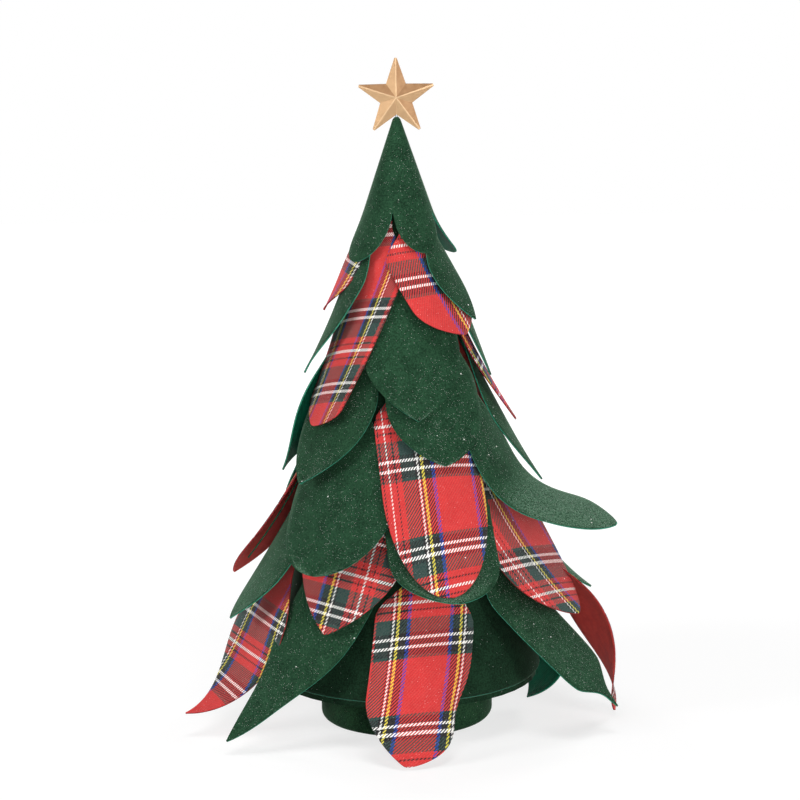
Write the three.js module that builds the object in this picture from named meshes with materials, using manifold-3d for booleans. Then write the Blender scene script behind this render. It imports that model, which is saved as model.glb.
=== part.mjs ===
// Tabletop Christmas tree
//
// A velvet-covered cone stands on a round plinth. Leaves cut from velvet and from tartan cloth overlap
// down its sides, a lobed velvet cap covers its point, and a faceted star stands on the cap.
//
// Lengths are in millimetres, angles in degrees and +Z is up. The origin is the centre of the plinth's
// underside, and the front faces -Y. Azimuth is measured round the cone from the front, and it grows to
// the right.
import * as THREE from "three";
import { mergeVertices } from "three/addons/utils/BufferGeometryUtils.js";
import Module from "manifold-3d";

const wasm = await Module();
wasm.setup();

// Room between pieces

const seat = 0.3; // between pieces that touch on the object
const enoughShare = 0.95; // share of that room at which a piece counts as clear

// Plinth

const plinthRadius = 52.3;
const plinthTop = 27;
const plinthEdge = 5; // rounding of the lower edge
const plinthShoulder = 2; // rounding of the upper edge
const plinthHem = 14; // how far its cloth is turned in, above and below
const velvet = 1.2; // thickness of the covering cloth
const padRadius = 36;
const padThickness = 1.8;

// Cone

const coneRadius = 82.5;
const coneApex = 371; // where its straight sides would meet
const coneTop = 358; // where it is cut off, under the cap
const coneEdge = 3; // rounding where its cloth is turned under
const baseBoard = 3; // board under the foam
const dowelRadius = 6;
const dowelInPlinth = 19;
const dowelInCone = 42;

// Cap

const capTop = 365.9;
const capCloth = 0.9;
const capTip = 0.9; // how much the rounding of its tip adds to the radius
const capTipDepth = 2;
const capSlope = 18; // its side against the upright
const capSlopeStep = 0.25; // a cap with no room is opened by this much at a time
const capNotchDepth = 54; // from its top down to the notches
const capLobeDepth = 29; // from the notches down to the end of a lobe with a full share
const capLobeRound = 0.75; // below 1 an end is rounder, above 1 it is more pointed
const capFlare = 8; // how far the end of the widest lobe stands out
const capLobes = [
  { middle: -52, half: 43, depthShare: 1, flareShare: 0.5 },
  { middle: 32, half: 41, depthShare: 0.83, flareShare: 0.5 },
  { middle: 120, half: 47, depthShare: 1, flareShare: 1 },
  { middle: 216, half: 49, depthShare: 0.95, flareShare: 0.75 },
];

// Star

const starStand = 1.3; // its lower notch above the tip of the cap
const starRadius = 23.2;
const starWaistShare = 0.43; // radius of the inner corners, as a share of the radius
const starHeight = capTop + starStand + starRadius * starWaistShare; // its centre
const starDepth = 9; // front to back at the centre
const starRim = 2.4; // front to back at the edge
const starBlunt = 1.4; // width of a tip
const starArms = 5;
const pinRadius = 0.65;
const pinLength = 46;
const pinInStar = 8;

// Leaves: velvet and tartan are cut with three sizes of die

const leafThickness = 0.9;
const leafRoot = 8; // width of the end that is glued to the cone
const leafCuts = {
  small: { length: 85, width: 46 },
  medium: { length: 108, width: 56 },
  large: { length: 132, width: 62 },
};
const riseShare = 0.55; // share of its length in which a leaf climbs over those beneath it
const curlShare = 0.4; // where along its length the curl of the tip begins
const hugFromShare = 0.4; // where along its length a leaf has taken its own bend across
const riseStep = 0.4; // a leaf with no room is moved out by this much at a time, and lifted by
const liftStep = 0.5; // this angle at its root
const layTries = 90;
const wireRadius = 0.5; // shaping wire, glued along the back of a leaf
const wireFromShare = 0.3;
const wireToShare = 0.9;

// Each leaf, in the order of laying, from the lowest row up.
//   around: azimuth of the root
//   upShare: height of the root, as a share of the cone's
//   longShare, wideShare: shares of the die that it is cut with
//   grownShare, fadesShare: where along it the full width begins and ends
//   roundShare: 0 for a pointed tip, 1 for a round one
//   hugShare: bend across it, as a share of the cone's own
//   pitch: angle off the cone at the root; flare: what is added by the tip; curl: what its last part adds
//   lean: turn to the right at the root; sweep: what is added by the tip
//   twist: turn about its own length by the tip
const leafRows = [
  // Row F, the lowest
  {
    name: "leaf_f1", cloth: "velvet", cut: "large", around: 98, upShare: 0.2,
    longShare: 0.75, curl: -70,
  },
  {
    name: "leaf_f3", cloth: "velvet", cut: "large", around: 196, upShare: 0.27,
    longShare: 0.95, flare: 16,
  },
  {
    name: "leaf_f2", cloth: "tartan", cut: "large", around: 158, upShare: 0.26,
    longShare: 0.95, flare: 18,
  },
  {
    name: "leaf_f4", cloth: "tartan", cut: "large", around: -142, upShare: 0.26,
    longShare: 0.95, flare: 18,
  },
  {
    name: "leaf_f5", cloth: "tartan", cut: "large", around: 85.5, upShare: 0.25,
    longShare: 1.04, wideShare: 0.8, pitch: 46, flare: -55, twist: -26,
  },
  {
    name: "leaf_f6", cloth: "tartan", cut: "large", around: -72, upShare: 0.24,
    longShare: 0.96, wideShare: 0.95, grownShare: 0.4, fadesShare: 0.45, roundShare: 0, hugShare: 0.3,
    pitch: 30, flare: -44, curl: 85, twist: -24,
  },
  {
    name: "leaf_f7", cloth: "tartan", cut: "large", around: 13, upShare: 0.24,
    longShare: 0.93, wideShare: 0.96, grownShare: 0.3, fadesShare: 0.7, roundShare: 0.4, flare: 10,
    lean: -4, sweep: -12.5,
  },
  {
    name: "leaf_f8", cloth: "velvet", cut: "large", around: -27.5, upShare: 0.26,
    longShare: 1.06, wideShare: 0.68, fadesShare: 0.45, flare: 28, lean: -6, sweep: -27,
  },
  {
    name: "leaf_f9", cloth: "velvet", cut: "large", around: 44, upShare: 0.26,
    longShare: 0.97, wideShare: 0.68, grownShare: 0.3, fadesShare: 0.72, roundShare: 0.4, pitch: 10,
    flare: 35, lean: 17,
  },
  // Row E
  {
    name: "leaf_e1", cloth: "velvet", cut: "medium", around: -96, upShare: 0.41,
    longShare: 0.95, flare: 18,
  },
  {
    name: "leaf_e2", cloth: "velvet", cut: "medium", around: 100, upShare: 0.4,
    longShare: 1.08, wideShare: 0.8, flare: 34,
  },
  { name: "leaf_e4", cloth: "velvet", cut: "large", around: 178, upShare: 0.42, flare: 16 },
  { name: "leaf_e3", cloth: "tartan", cut: "large", around: 144, upShare: 0.42, flare: 18 },
  { name: "leaf_e5", cloth: "tartan", cut: "large", around: 218, upShare: 0.42, flare: 18 },
  { name: "leaf_e6", cloth: "velvet", cut: "medium", around: -76, upShare: 0.385, flare: 27, lean: 5 },
  {
    name: "leaf_e7", cloth: "tartan", cut: "large", around: 56.5, upShare: 0.44,
    longShare: 0.96, fadesShare: 0.65, roundShare: 0.5, flare: 28, lean: 4.5,
  },
  {
    name: "leaf_e8", cloth: "tartan", cut: "large", around: -19, upShare: 0.45,
    longShare: 0.92, wideShare: 1.12, flare: 4, lean: -7,
  },
  {
    name: "leaf_e9", cloth: "velvet", cut: "large", around: 21, upShare: 0.44,
    longShare: 0.78, wideShare: 1.1, grownShare: 0.4, fadesShare: 0.7, roundShare: 0.7, pitch: 7,
    flare: 10, curl: 24, lean: -3,
  },
  // Row D
  {
    name: "leaf_d1", cloth: "tartan", cut: "large", around: -100, upShare: 0.5,
    wideShare: 0.8, fadesShare: 0.7, flare: 22, twist: 16, wired: true,
  },
  {
    name: "leaf_d2", cloth: "velvet", cut: "large", around: 112, upShare: 0.53,
    longShare: 0.9, flare: 10,
  },
  { name: "leaf_d4", cloth: "velvet", cut: "large", around: 200, upShare: 0.54, flare: 14 },
  { name: "leaf_d3", cloth: "tartan", cut: "large", around: 156, upShare: 0.54, flare: 14 },
  { name: "leaf_d5", cloth: "velvet", cut: "medium", around: 236, upShare: 0.54, flare: 14 },
  {
    name: "leaf_d7", cloth: "velvet", cut: "large", around: -35, upShare: 0.52,
    longShare: 0.86, wideShare: 1.22, roundShare: 1, pitch: 7, flare: 8,
  },
  {
    name: "leaf_d6", cloth: "tartan", cut: "large", around: 17.3, upShare: 0.57,
    longShare: 1.08, wideShare: 1.02, grownShare: 0.25, roundShare: 1, pitch: 9, flare: 8, sweep: -3,
  },
  {
    name: "leaf_d8", cloth: "velvet", cut: "large", around: 48, upShare: 0.6,
    longShare: 1.2, wideShare: 0.76, fadesShare: 0.78, roundShare: 0.5, pitch: 7, flare: 21, curl: 64,
    lean: 10,
  },
  // Row C
  {
    name: "leaf_c1", cloth: "velvet", cut: "medium", around: 94, upShare: 0.65,
    longShare: 1.12, wideShare: 0.7, grownShare: 0.6, pitch: 6, flare: 14,
  },
  { name: "leaf_c3", cloth: "velvet", cut: "medium", around: 172, upShare: 0.66, flare: 12 },
  { name: "leaf_b1", cloth: "velvet", cut: "medium", around: -94, upShare: 0.65, pitch: 6, flare: 8 },
  {
    name: "leaf_c2", cloth: "tartan", cut: "medium", around: 128, upShare: 0.64,
    wideShare: 0.75, flare: 14,
  },
  {
    name: "leaf_c4", cloth: "tartan", cut: "medium", around: 214, upShare: 0.64,
    wideShare: 0.8, flare: 12,
  },
  { name: "leaf_c5", cloth: "velvet", cut: "medium", around: -40, upShare: 0.65, flare: 10, lean: -6 },
  {
    name: "leaf_c6", cloth: "velvet", cut: "medium", around: 28.5, upShare: 0.67,
    longShare: 0.92, wideShare: 1.1, fadesShare: 0.62, roundShare: 0.5, flare: 4, lean: -3,
  },
  // Row B
  {
    name: "leaf_b3", cloth: "tartan", cut: "medium", around: 94, upShare: 0.73,
    wideShare: 0.75, flare: 14,
  },
  {
    name: "leaf_b2", cloth: "tartan", cut: "medium", around: -104, upShare: 0.74,
    longShare: 0.84, wideShare: 0.5,
  },
  {
    name: "leaf_b5", cloth: "velvet", cut: "medium", around: 198, upShare: 0.73,
    wideShare: 0.6, flare: 12,
  },
  {
    name: "leaf_b4", cloth: "velvet", cut: "medium", around: 142, upShare: 0.74,
    wideShare: 0.6, flare: 12,
  },
  {
    name: "leaf_b6", cloth: "velvet", cut: "medium", around: 12, upShare: 0.75,
    longShare: 0.93, wideShare: 1.08, flare: 4, lean: -1,
  },
  // Row A, tucked under the cap
  {
    name: "leaf_a3", cloth: "velvet", cut: "medium", around: 92, upShare: 0.78,
    longShare: 0.86, wideShare: 0.7, pitch: 6,
  },
  { name: "leaf_a5", cloth: "velvet", cut: "small", around: 216, upShare: 0.78, flare: 12 },
  {
    name: "leaf_a4", cloth: "tartan", cut: "small", around: 146, upShare: 0.78,
    wideShare: 0.7, flare: 12,
  },
  {
    name: "leaf_a7", cloth: "tartan", cut: "large", around: -24.8, upShare: 0.81,
    longShare: 0.98, wideShare: 0.67, grownShare: 0.35, fadesShare: 0.88, roundShare: 0.7, flare: 4,
    lean: -8, sweep: -2, twist: 10,
  },
  {
    name: "leaf_a6", cloth: "tartan", cut: "small", around: 19.5, upShare: 0.81,
    longShare: 0.9, grownShare: 0.4, fadesShare: 0.65, roundShare: 0.6, pitch: 8, flare: 10, lean: 12,
  },
  {
    name: "leaf_a8", cloth: "velvet", cut: "medium", around: -52, upShare: 0.8,
    longShare: 0.9, wideShare: 0.65, pitch: 8, flare: 5, lean: -8, twist: 20,
  },
  {
    name: "leaf_a1", cloth: "tartan", cut: "small", around: -80, upShare: 0.81,
    longShare: 0.72, wideShare: 0.8, pitch: 8, flare: 6, lean: -2, twist: 10,
  },
  {
    name: "leaf_a2", cloth: "velvet", cut: "small", around: 58, upShare: 0.81,
    longShare: 0.8, wideShare: 0.65, pitch: 12, flare: 8,
  },
];
const leafHabit = {
  pitch: 5,
  flare: 0,
  curl: 0,
  lean: 0,
  sweep: 0,
  twist: 0,
  hugShare: 0.85,
  longShare: 1,
  wideShare: 1,
  roundShare: 0.2,
  grownShare: 0.5,
  fadesShare: 0.55,
};

// How finely curved surfaces are divided

const turnedSides = 40;
const wireSides = 8;
const arcSteps = 3;
const lobeSteps = 9;
const capSteps = 5;
const leafSteps = 8;
const leafStrips = 4;
const leafWalk = 10; // small steps along the middle of a leaf for each ring of points
const crowding = 1.35; // above 1 the rings of a leaf stand closer towards its tip
const roundCrowding = 0.33; // what a round tip adds to that

// Helpers

const weldShare = 0.001; // of a seat: points nearer than this are one point
const rad = THREE.MathUtils.degToRad;
const vec = (x, y, z) => new THREE.Vector3(x, y, z);

// A closed surface through rings of points. Neighbouring rings are joined, equal points are made one, and
// triangles that shrink to nothing are left out. An endless row of rings joins its last ring to its first.
function joinRings(rings, endless = false) {
  const around = rings[0].length;
  const positions = rings.flat().flatMap((p) => [p.x, p.y, p.z]);
  const index = [];
  const last = endless ? rings.length : rings.length - 1;
  for (let i = 0; i < last; i++) {
    const here = i * around;
    const next = ((i + 1) % rings.length) * around;
    for (let j = 0; j < around; j++) {
      const k = (j + 1) % around;
      index.push(here + j, here + k, next + k);
      index.push(here + j, next + k, next + j);
    }
  }
  const loose = new THREE.BufferGeometry();
  loose.setAttribute("position", new THREE.Float32BufferAttribute(positions, 3));
  loose.setIndex(index);
  return withoutSlivers(mergeVertices(loose, seat * weldShare));
}

function withoutSlivers(geometry) {
  const old = geometry.index.array;
  const kept = [];
  for (let i = 0; i < old.length; i += 3) {
    const [a, b, c] = [old[i], old[i + 1], old[i + 2]];
    if (a !== b && b !== c && c !== a) kept.push(a, b, c);
  }
  geometry.setIndex(kept);
  return geometry;
}

// A body turned about the Z axis, from pairs of radius and height listed anticlockwise.
function turned(profile, endless = false, sides = turnedSides) {
  const ring = ([radius, height]) =>
    Array.from({ length: sides }, (_, i) => {
      const angle = (i / sides) * 2 * Math.PI;
      return vec(radius * Math.cos(angle), radius * Math.sin(angle), height);
    });
  return joinRings(profile.map(ring), endless);
}

// Points of a quarter turn in a profile, from one angle to the next.
function corner(radius, height, rounding, from, to) {
  return Array.from({ length: arcSteps + 1 }, (_, i) => {
    const angle = rad(from + ((to - from) * i) / arcSteps);
    return [radius + rounding * Math.cos(angle), height + rounding * Math.sin(angle)];
  });
}

function solidOf(geometry) {
  const vertProperties = new Float32Array(geometry.attributes.position.array);
  const triVerts = new Uint32Array(geometry.index.array);
  return new wasm.Manifold(new wasm.Mesh({ numProp: 3, vertProperties, triVerts }));
}

function geometryOf(solid) {
  const mesh = solid.getMesh();
  const geometry = new THREE.BufferGeometry();
  geometry.setAttribute("position", new THREE.BufferAttribute(mesh.vertProperties, 3));
  geometry.setIndex(new THREE.BufferAttribute(mesh.triVerts, 1));
  return geometry;
}

const tree = new THREE.Group();
tree.name = "tabletop_christmas_tree";

const materials = {
  velvet: { color: "#1f4a30", roughness: 0.95, metalness: 0 },
  tartan: { color: "#b3262e", roughness: 0.85, metalness: 0 },
  felt: { color: "#1b2e22", roughness: 1, metalness: 0 },
  foam: { color: "#e9e9e4", roughness: 0.9, metalness: 0 },
  board: { color: "#a58a63", roughness: 0.9, metalness: 0 },
  wood: { color: "#c9a36f", roughness: 0.7, metalness: 0 },
  gold: { color: "#b98a4b", roughness: 0.35, metalness: 0.7 },
  wire: { color: "#1c5a3a", roughness: 0.5, metalness: 0 },
  steel: { color: "#9a9da1", roughness: 0.4, metalness: 1 },
};

function add(name, geometry, material) {
  const shown = geometry.index ? geometry.toNonIndexed() : geometry;
  shown.computeVertexNormals();
  const mesh = new THREE.Mesh(shown, new THREE.MeshStandardMaterial(materials[material]));
  mesh.name = name;
  tree.add(mesh);
}

// Plinth: a felt pad, a core, and cloth that is turned in over both faces

function plinthCloth() {
  const bottom = padThickness + seat;
  const hem = plinthRadius - plinthHem;
  const outside = [
    [hem, bottom],
    ...corner(plinthRadius - plinthEdge, bottom + plinthEdge, plinthEdge, -90, 0),
    ...corner(plinthRadius - plinthShoulder, plinthTop - plinthShoulder, plinthShoulder, 0, 90),
    [hem, plinthTop],
  ];
  const inside = [
    [hem, plinthTop - velvet],
    ...corner(
      plinthRadius - plinthShoulder,
      plinthTop - plinthShoulder,
      plinthShoulder - velvet,
      90,
      0,
    ),
    ...corner(plinthRadius - plinthEdge, bottom + plinthEdge, plinthEdge - velvet, 0, -90),
    [hem, bottom + velvet],
  ];
  return turned([...outside, ...inside], true);
}

function plinthCore() {
  const bottom = padThickness + seat;
  const low = bottom + velvet + seat;
  const high = plinthTop - velvet - seat;
  const radius = plinthRadius - velvet - seat;
  const bevel = plinthEdge - velvet;
  const inner = plinthRadius - plinthHem - seat;
  const holeRadius = dowelRadius + seat;
  return turned([
    [0, bottom],
    [inner, bottom],
    [inner, low],
    [radius - bevel, low],
    [radius, low + bevel],
    [radius, high - plinthShoulder],
    [radius - plinthShoulder, high],
    [inner, high],
    [inner, plinthTop],
    [holeRadius, plinthTop],
    [holeRadius, plinthTop - dowelInPlinth - seat],
    [0, plinthTop - dowelInPlinth - seat],
  ]);
}

add("plinth_pad", turned([[0, 0], [padRadius, 0], [padRadius, padThickness], [0, padThickness]]), "felt");
add("plinth_core", plinthCore(), "foam");
add("plinth_cloth", plinthCloth(), "velvet");

// Cone: a board, a foam core, and cloth that is turned under at the bottom

const boardBottom = plinthTop + seat;
const coneBottom = boardBottom + baseBoard + seat;
const coneSlope = Math.atan(coneRadius / (coneApex - coneBottom));
const coneRadiusAt = (height) => (coneApex - height) * Math.tan(coneSlope);

function coneCloth() {
  const straight = coneBottom + coneEdge;
  const outer = coneRadiusAt(straight);
  const hem = coneRadius - plinthHem;
  return turned(
    [
      [hem, coneBottom],
      ...corner(outer - coneEdge, straight, coneEdge, -90, 0),
      [coneRadiusAt(coneTop), coneTop],
      [coneRadiusAt(coneTop) - velvet, coneTop],
      ...corner(outer - coneEdge, straight, coneEdge - velvet, 0, -90),
      [hem, coneBottom + velvet],
    ],
    true,
  );
}

function coneCore() {
  const low = coneBottom + velvet + seat;
  const straight = coneBottom + coneEdge;
  const inner = coneRadius - plinthHem - seat;
  const offset = velvet + seat;
  const pinHole = pinRadius + seat;
  const pinBottom = starHeight - starRadius * starWaistShare + pinInStar - pinLength - seat;
  const dowelTop = boardBottom + dowelInCone + seat;
  const dowelHole = dowelRadius + seat;
  return turned([
    [0, dowelTop],
    [dowelHole, dowelTop],
    [dowelHole, coneBottom],
    [inner, coneBottom],
    [inner, low],
    [coneRadiusAt(straight) - offset - coneEdge / 2, low],
    [coneRadiusAt(straight) - offset, straight],
    [coneRadiusAt(coneTop) - offset, coneTop],
    [pinHole, coneTop],
    [pinHole, pinBottom],
    [0, pinBottom],
  ]);
}

function baseRing() {
  const holeRadius = dowelRadius + seat;
  const radius = coneRadius - coneEdge;
  return turned(
    [
      [holeRadius, boardBottom],
      [radius, boardBottom],
      [radius, boardBottom + baseBoard],
      [holeRadius, boardBottom + baseBoard],
    ],
    true,
  );
}

function dowel() {
  const bottom = plinthTop - dowelInPlinth;
  const top = boardBottom + dowelInCone;
  return turned([[0, bottom], [dowelRadius, bottom], [dowelRadius, top], [0, top]], false, turnedSides / 2);
}

add("cone_board", baseRing(), "board");
add("cone_core", coneCore(), "foam");
add("cone_cloth", coneCloth(), "velvet");
add("joining_dowel", dowel(), "wood");

// Star and the pin that carries it

function starGeometry() {
  const rim = [];
  const half = Math.PI / starArms;
  const waistRadius = starRadius * starWaistShare;
  const place = (turn, out, side) => [
    out * Math.sin(turn) + side * Math.cos(turn),
    out * Math.cos(turn) - side * Math.sin(turn),
  ];
  for (let arm = 0; arm < starArms; arm++) {
    const tip = 2 * half * arm;
    rim.push(place(tip, starRadius, -starBlunt / 2));
    rim.push(place(tip, starRadius, starBlunt / 2));
    rim.push(place(tip + half, waistRadius, 0));
  }
  const ring = (depth) => rim.map(([x, z]) => vec(x, depth, starHeight + z));
  const point = (depth) => rim.map(() => vec(0, depth, starHeight));
  return joinRings([point(-starDepth / 2), ring(-starRim / 2), ring(starRim / 2), point(starDepth / 2)]);
}

const notchHeight = starHeight - starRadius * starWaistShare;
const pinTop = notchHeight + pinInStar;

function pinBody(radius, bottom, top) {
  return turned([[0, bottom], [radius, bottom], [radius, top], [0, top]], false, turnedSides / 4);
}

function starWithHole() {
  const hole = pinBody(pinRadius + seat, notchHeight - starRim, pinTop + seat);
  return geometryOf(solidOf(starGeometry()).subtract(solidOf(hole)));
}

add("star", starWithHole(), "gold");
add("star_pin", pinBody(pinRadius, pinTop - pinLength, pinTop), "steel");

// Cap: one velvet cone whose lower edge is cut into lobes

function capRadiusAt(drop, slope) {
  const tip = Math.sin((Math.min(1, drop / capTipDepth) * Math.PI) / 2);
  return pinRadius + seat + capTip * tip + drop * Math.tan(slope);
}

// Depth of the lower edge at a place across a lobe, from -1 at one notch to 1 at the next.
function capEdgeDepth(lobe, across) {
  return capNotchDepth + capLobeDepth * lobe.depthShare * Math.pow(1 - across * across, capLobeRound);
}

function capGeometry(tries) {
  const slope = rad(capSlope + tries * capSlopeStep);
  const rays = [];
  for (const lobe of capLobes) {
    for (let i = 0; i < lobeSteps; i++) {
      const across = -1 + (2 * i) / lobeSteps;
      rays.push({
        angle: rad(lobe.middle + across * lobe.half),
        depth: capEdgeDepth(lobe, across),
        flare: capFlare * lobe.flareShare,
      });
    }
  }
  const point = (ray, share, inset) => {
    const drop = ray.depth * share;
    const below = Math.max(0, drop - capNotchDepth) / capLobeDepth;
    const radius = capRadiusAt(drop, slope) + ray.flare * below * below;
    const out = share === 0 ? radius : radius - inset * Math.cos(slope);
    const height = share === 0 ? capTop - inset : capTop - drop - inset * Math.sin(slope);
    return vec(out * Math.sin(ray.angle), -out * Math.cos(ray.angle), height);
  };
  const shares = [0, capTipDepth / 2 / capNotchDepth, capTipDepth / capNotchDepth];
  for (let i = 1; i <= capSteps; i++) shares.push(i / capSteps);
  const outer = shares.map((share) => rays.map((ray) => point(ray, share, 0)));
  const inner = shares.map((share) => rays.map((ray) => point(ray, share, capCloth)));
  return joinRings([...outer.reverse(), ...inner], true);
}

// Leaves

// The cone's own directions at an azimuth: down its side, out of it, and round it to the right.
function coneFrame(azimuth) {
  const radial = vec(Math.sin(azimuth), -Math.cos(azimuth), 0);
  const down = radial.clone().multiplyScalar(Math.sin(coneSlope)).setZ(-Math.cos(coneSlope));
  const out = radial.clone().multiplyScalar(Math.cos(coneSlope)).setZ(Math.sin(coneSlope));
  const side = vec(Math.cos(azimuth), Math.sin(azimuth), 0);
  return { down, out, side };
}

// Half the width of a leaf at a share of its length, from the glued root to the point.
function halfWidth(leaf, share) {
  const { width } = leafCuts[leaf.cut];
  const full = (width * leaf.wideShare) / 2;
  const root = leafRoot / 2;
  if (share < leaf.grownShare) {
    const grown = (1 - Math.cos((share / leaf.grownShare) * Math.PI)) / 2;
    return root + (full - root) * grown;
  }
  const past = Math.max(0, (share - leaf.fadesShare) / (1 - leaf.fadesShare));
  return full * Math.pow(Math.max(0, 1 - past * past), 1 - leaf.roundShare / 2);
}

// The line down the middle of a leaf is walked in small steps, from its root at the given share to its tip.
// Each stop gives the place there and the leaf's own directions.
function leafStops(leaf, tries, shares) {
  const lift = tries * liftStep;
  const length = leafCuts[leaf.cut].length * leaf.longShare;
  const rootHeight = coneBottom + leaf.upShare * (coneApex - coneBottom);
  const start = coneFrame(rad(leaf.around));
  const place = vec(0, 0, rootHeight);
  place.addScaledVector(vec(start.side.y, -start.side.x, 0), coneRadiusAt(rootHeight));
  place.addScaledVector(start.out, seat + leafThickness / 2 + tries * riseStep);
  let shareBefore = 0;
  return shares.map((share) => {
    const step = (share - shareBefore) / leafWalk;
    for (let j = 0; j < leafWalk; j++) {
      const frame = leafFrame(leaf, lift, place, shareBefore + step * (j + 0.5));
      place.addScaledVector(frame.along, length * step);
    }
    shareBefore = share;
    return { share, place: place.clone(), frame: leafFrame(leaf, lift, place, share) };
  });
}

function leafGeometry(leaf, tries) {
  const power = crowding + roundCrowding * leaf.roundShare;
  const shares = Array.from({ length: leafSteps + 1 }, (_, i) => 1 - Math.pow(1 - i / leafSteps, power));
  const stops = leafStops(leaf, tries, shares);
  const tip = stops.pop();
  const thick = leafThickness / 2;
  return joinRings([
    leafRing(leaf, stops[0], 0),
    ...stops.map((stop) => leafRing(leaf, stop, thick)),
    leafRing(leaf, tip, 0),
  ]);
}

// The wire lies along the back of a leaf, on the line down its middle.
function wireGeometry(leaf, tries) {
  const span = wireToShare - wireFromShare;
  const shares = Array.from({ length: leafSteps + 1 }, (_, i) => wireFromShare + (span * i) / leafSteps);
  const depth = leafThickness / 2 + seat + wireRadius;
  const ring = (stop, radius) =>
    Array.from({ length: wireSides }, (_, i) => {
      const angle = (i / wireSides) * 2 * Math.PI;
      const { across, face } = stop.frame;
      const p = stop.place.clone().addScaledVector(face, -depth - radius * Math.cos(angle));
      return p.addScaledVector(across, radius * Math.sin(angle));
    });
  const stops = leafStops(leaf, tries, shares);
  const rings = stops.map((stop) => ring(stop, wireRadius));
  return joinRings([ring(stops[0], 0), ...rings, ring(stops.at(-1), 0)]);
}

// Directions of a leaf at a share of its length: along it, across it to the right, and out of its face.
function leafFrame(leaf, lift, place, share) {
  const { down, out, side } = coneFrame(Math.atan2(place.x, -place.y));
  const climb = Math.max(0, 1 - share / riseShare);
  const tip = Math.max(0, (share - curlShare) / (1 - curlShare));
  const pitch = rad(leaf.pitch + leaf.flare * share + leaf.curl * tip * tip + lift * climb);
  const turn = rad(leaf.lean + leaf.sweep * share);
  const flat = down.clone().multiplyScalar(Math.cos(turn)).addScaledVector(side, Math.sin(turn));
  const along = flat.multiplyScalar(Math.cos(pitch)).addScaledVector(out, Math.sin(pitch));
  const level = side.clone().multiplyScalar(Math.cos(turn)).addScaledVector(down, -Math.sin(turn));
  const across = level.applyAxisAngle(along, rad(leaf.twist * share));
  return { along, across, face: along.clone().cross(across) };
}

// One ring round a leaf: its outer face from right to left, then its inner face back again.
function leafRing(leaf, { share, place, frame }, inset) {
  const own = Math.min(1, share / hugFromShare);
  const hug = 1 + (leaf.hugShare - 1) * own;
  const bend = hug / Math.hypot(place.x, place.y);
  const half = halfWidth(leaf, share);
  const edge = (across, depth) => {
    const angle = half * across * bend;
    const sideways = Math.abs(bend) > 0 ? Math.sin(angle) / bend : half * across;
    const sunk = Math.abs(bend) > 0 ? (1 - Math.cos(angle)) / bend : 0;
    const p = place.clone().addScaledVector(frame.across, sideways).addScaledVector(frame.face, -sunk);
    p.addScaledVector(frame.across, depth * Math.sin(angle));
    return p.addScaledVector(frame.face, depth * Math.cos(angle));
  };
  const places = Array.from({ length: leafStrips + 1 }, (_, i) => 1 - (2 * i) / leafStrips);
  return [
    ...places.map((across) => edge(across, inset)),
    ...places.reverse().map((across) => edge(across, -inset)),
  ];
}

// Laying up: a piece is moved out and lifted until it clears all that already lies there

const positionsOnly = (geometry) =>
  new THREE.BufferGeometry().setAttribute("position", geometry.getAttribute("position"));
const laid = tree.children.map((mesh) =>
  solidOf(mergeVertices(positionsOnly(mesh.geometry), seat * weldShare)),
);

function layUp(name, shapes) {
  const enough = seat * enoughShare;
  for (let tries = 0; tries <= layTries; tries++) {
    const geometries = shapes(tries);
    const solids = geometries.map(solidOf);
    const blocked = solids.some((solid) => laid.some((other) => solid.minGap(other, enough) < enough));
    if (blocked) continue;
    laid.push(...solids);
    return geometries;
  }
  throw new Error("there is no room for " + name);
}

for (const row of leafRows) {
  const leaf = { ...leafHabit, ...row };
  const [cloth, wire] = layUp(leaf.name, (tries) =>
    leaf.wired ? [leafGeometry(leaf, tries), wireGeometry(leaf, tries)] : [leafGeometry(leaf, tries)],
  );
  add(leaf.name, cloth, leaf.cloth);
  if (wire) add(leaf.name + "_wire", wire, "wire");
}
add("cap", layUp("cap", (tries) => [capGeometry(tries)])[0], "velvet");

export default tree;
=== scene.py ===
# %% [markdown]
# This lesson dresses a tabletop tree. A cone stands on a round foot, both covered in dark green velvet,
# and leaves cut from velvet and from tartan hang on the cone in rows under a velvet cap and a gold star.
# The solids of the tree come ready made, as a frame. Blender adds the cloth, its finish and the light.
# Lengths are written in millimetres and turned into metres by one factor.

import math
from types import SimpleNamespace

import bpy
import numpy as np
from mathutils import Matrix, Vector


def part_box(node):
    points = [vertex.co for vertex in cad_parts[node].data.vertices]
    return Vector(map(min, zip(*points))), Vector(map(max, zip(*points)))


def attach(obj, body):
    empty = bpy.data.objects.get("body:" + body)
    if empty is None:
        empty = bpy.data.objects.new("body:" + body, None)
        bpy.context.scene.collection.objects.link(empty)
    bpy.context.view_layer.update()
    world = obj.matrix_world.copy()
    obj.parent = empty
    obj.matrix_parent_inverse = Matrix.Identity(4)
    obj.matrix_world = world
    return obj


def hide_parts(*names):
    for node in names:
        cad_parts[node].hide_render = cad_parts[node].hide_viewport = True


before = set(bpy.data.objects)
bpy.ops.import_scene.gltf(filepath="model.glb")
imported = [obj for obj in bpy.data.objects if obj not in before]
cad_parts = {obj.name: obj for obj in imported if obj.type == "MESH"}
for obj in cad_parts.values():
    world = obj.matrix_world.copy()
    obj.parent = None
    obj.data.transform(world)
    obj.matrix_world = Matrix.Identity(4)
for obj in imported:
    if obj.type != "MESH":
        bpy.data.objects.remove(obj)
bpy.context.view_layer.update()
MM = 0.001
print("nodes in the frame:", len(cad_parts))

# %% [markdown]
# The camera comes first, because every piece is judged through it. It stands one and a half metres in
# front of the tree, a little higher than the star, and looks down at it through a long lens, so upright
# lines stay nearly parallel. The last turn, about the line of sight, is the lean of a hand-held camera.

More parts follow.
